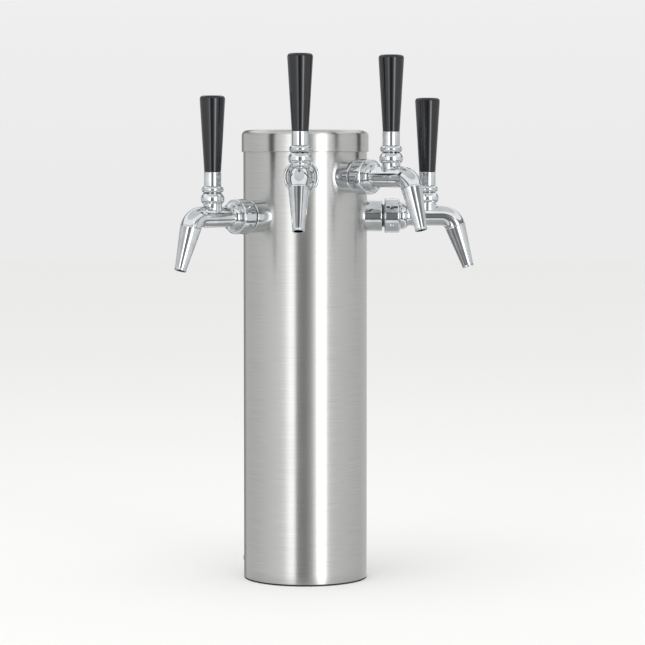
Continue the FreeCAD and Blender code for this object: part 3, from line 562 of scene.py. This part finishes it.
def makeFerrule(tap):
    outer, edge, bottom, top = ferrule["radius"], ferrule["edge"], ferrule["bottom"], ferrule["top"]
    outline = [
        (ferrule["bore"], bottom), (outer - edge, bottom, edge), (outer, bottom + edge),
        (outer, top - edge, edge), (outer - edge, top), (ferrule["plug"], top),
        (ferrule["plug"], ferrule["plugTop"]), (0, ferrule["plugTop"]), (0, ferrule["floor"]),
        (ferrule["bore"], ferrule["floor"]),
    ]
    piece = asObject(soften(turned(outline, segments=80), ferrule["bevel"]), tap.node("ferrule"), tap.pivot)
    dress(piece, "polished_stainless", tap.lever, tap.node("handle_ferrule"))


def makeHandle(tap):
    top, bore = handle["length"], handle["bore"]
    outline = [
        (bore, 0), (handle["foot"] - handle["footEdge"], 0, handle["footEdge"]),
        (handle["foot"], handle["footEdge"]), (handle["head"], top - handle["headEdge"], handle["headEdge"]),
        (handle["head"] - handle["headEdge"], top), (0, top), (0, handle["boreDepth"]),
        (bore, handle["boreDepth"]),
    ]
    place = tap.pivot @ Matrix.Translation((0, 0, handle["bottom"] * mm))
    piece = asObject(soften(turned(outline, segments=80), handle["bevel"]), tap.node("handleGrip"), place)
    dress(piece, "black_handle", tap.lever, tap.node("handle"))


for tap in taps:
    makeRing(tap)
    makeFerrule(tap)
    makeHandle(tap)

print("stage")
stage = {"size": 8, "floor": "#E9E9E7", "glow": 0.12, "horizon": 0.83, "backdrop": 0.88, "paleFrom": 0.1}


def makeFloor():
    material, tree, surface = newMaterial("paintedFloor", {
        "Base Color": srgb(stage["floor"]), "Roughness": 0.9, "Specular IOR Level": 0,
        "Emission Color": srgb(stage["floor"]), "Emission Strength": stage["glow"]})
    form = bmesh.new()
    bmesh.ops.create_circle(form, cap_ends=True, segments=96, radius=stage["size"])
    floor = asObject(form, "floor")
    floor.data.materials.append(material)
    floor.visible_glossy = False
    floor.visible_shadow = False


makeFloor()

print("light")
# what the metal mirrors, by the angle round the tower from the taps' side, in degrees: (angle, brightness)
walls = [
    (-180, 0.25), (-172, 0.3),  # a dark corner behind
    (-168, 0.62), (-147, 0.66), (-128, 0.72), (-112, 0.78), (-88, 0.92), (-68, 1.05),  # the left wall
    (-58, 1.3), (-50, 2.2), (-39.5, 2.3),  # a soft panel
    (-38, 0.25), (-19, 0.2), (-10, 0.45),  # the dark gap between the panels
    (-3, 1.05), (3, 2.5), (8, 5.2), (15, 5.2),  # the main panel
    (18, 1.15), (32, 0.92), (58, 0.82), (86, 0.72),  # the right wall
    (104, 0.66), (122, 0.66), (134, 0.62), (146, 0.6),
    (149, 1.3), (159, 1.3),  # a slim panel behind
    (162, 0.3), (180, 0.25),
]
# the walls' stripes fade to one brightness above and below these heights, as the sine of the elevation
fade = {"from": 0.3, "to": 0.5, "brightness": 0.95}
# how bright the walls are by height, as the sine of the elevation: (height, share of the brightness)
bands = [
    (-1, 0.5), (-0.74, 0.6), (-0.7, 1), (-0.52, 1), (-0.47, 0.2), (-0.36, 0.25), (-0.3, 1.05), (0.26, 1.05),
    (0.3, 0.35), (0.38, 0.3), (0.41, 0.3), (0.46, 1.2), (0.74, 1.2), (0.8, 0.8), (1, 0.85),
]


def profile(tree, reading, stops, low, high):
    # brightness along the stops, as the reading goes from low to high
    share = addNode(tree, "MapRange", {"Value": reading}, {"From Min": low, "From Max": high})
    ramp = addNode(tree, "ValToRGB", {"Fac": share.outputs["Result"]})
    first, last = stops[0][0], stops[-1][0]
    brightest = max(value for _, value in stops)
    elements = ramp.color_ramp.elements
    while len(elements) < len(stops):
        elements.new(0.5)
    for element, (at, value) in zip(elements, stops):
        element.position = (at - first) / (last - first)
        element.color = [value / brightest] * 3 + [1]
    scaled = addNode(tree, "Math", {0: ramp.outputs["Color"]}, {1: brightest}, operation="MULTIPLY")
    return scaled.outputs["Value"]


def makeWorld():
    world = bpy.data.worlds.new("studio")
    scene.world = world
    world.use_nodes = True
    tree = world.node_tree
    backdrop = tree.nodes["Background"]
    parts = addNode(tree, "SeparateXYZ", {"Vector": addNode(tree, "TexCoord").outputs["Generated"]})
    rise = parts.outputs["Z"]
    minusY = addNode(tree, "Math", {0: parts.outputs["Y"]}, {1: -1}, operation="MULTIPLY")
    angle = addNode(tree, "Math", {0: parts.outputs["X"], 1: minusY.outputs["Value"]}, operation="ARCTAN2")
    around = profile(tree, angle.outputs["Value"], walls, -math.pi, math.pi)
    upward = profile(tree, rise, bands, -1, 1)
    slope = addNode(tree, "Math", {0: rise}, operation="ABSOLUTE")
    ends = {"From Min": fade["from"], "From Max": fade["to"]}
    faded = addNode(tree, "MapRange", {"Value": slope.outputs["Value"]}, ends).outputs["Result"]
    wall = addNode(tree, "Mix", {"Factor": faded, "A": around}, {"B": fade["brightness"]})
    shown = addNode(tree, "Math", {0: wall.outputs["Result"], 1: upward}, operation="MULTIPLY")
    # straight to the camera: a plain backdrop that meets the floor at its own brightness
    ends = {"From Max": stage["paleFrom"], "To Min": stage["horizon"], "To Max": stage["backdrop"]}
    plain = addNode(tree, "MapRange", {"Value": rise}, ends).outputs["Result"]
    seen = addNode(tree, "LightPath").outputs["Is Camera Ray"]
    final = addNode(tree, "Mix", {"Factor": seen, "A": shown.outputs["Value"], "B": plain})
    tree.links.new(final.outputs["Result"], backdrop.inputs["Color"])


makeWorld()

softbox = {"place": (-0.5, -0.6, 2.4), "size": 1.6, "power": 15}


def makeSoftbox():
    data = bpy.data.lights.new("softbox", "AREA")
    data.size = softbox["size"]
    data.energy = softbox["power"]
    light = bpy.data.objects.new("softbox", data)
    light.location = softbox["place"]
    light.rotation_euler = (-Vector(softbox["place"])).to_track_quat("-Z", "Y").to_euler()
    light.visible_glossy = False
    scene.collection.objects.link(light)


makeSoftbox()

print("camera")
view = {"place": (-0.791, -2.147, 0.380), "target": (0, -0.045, 0.240), "lens": 138}


def makeCamera():
    camera = bpy.data.objects.new("camera", bpy.data.cameras.new("camera"))
    camera.location = view["place"]
    aim = Vector(view["target"]) - Vector(view["place"])
    camera.rotation_euler = aim.to_track_quat("-Z", "Y").to_euler()
    camera.data.lens = view["lens"]
    scene.collection.objects.link(camera)
    scene.camera = camera
    scene.view_settings.view_transform = "Standard"


makeCamera()
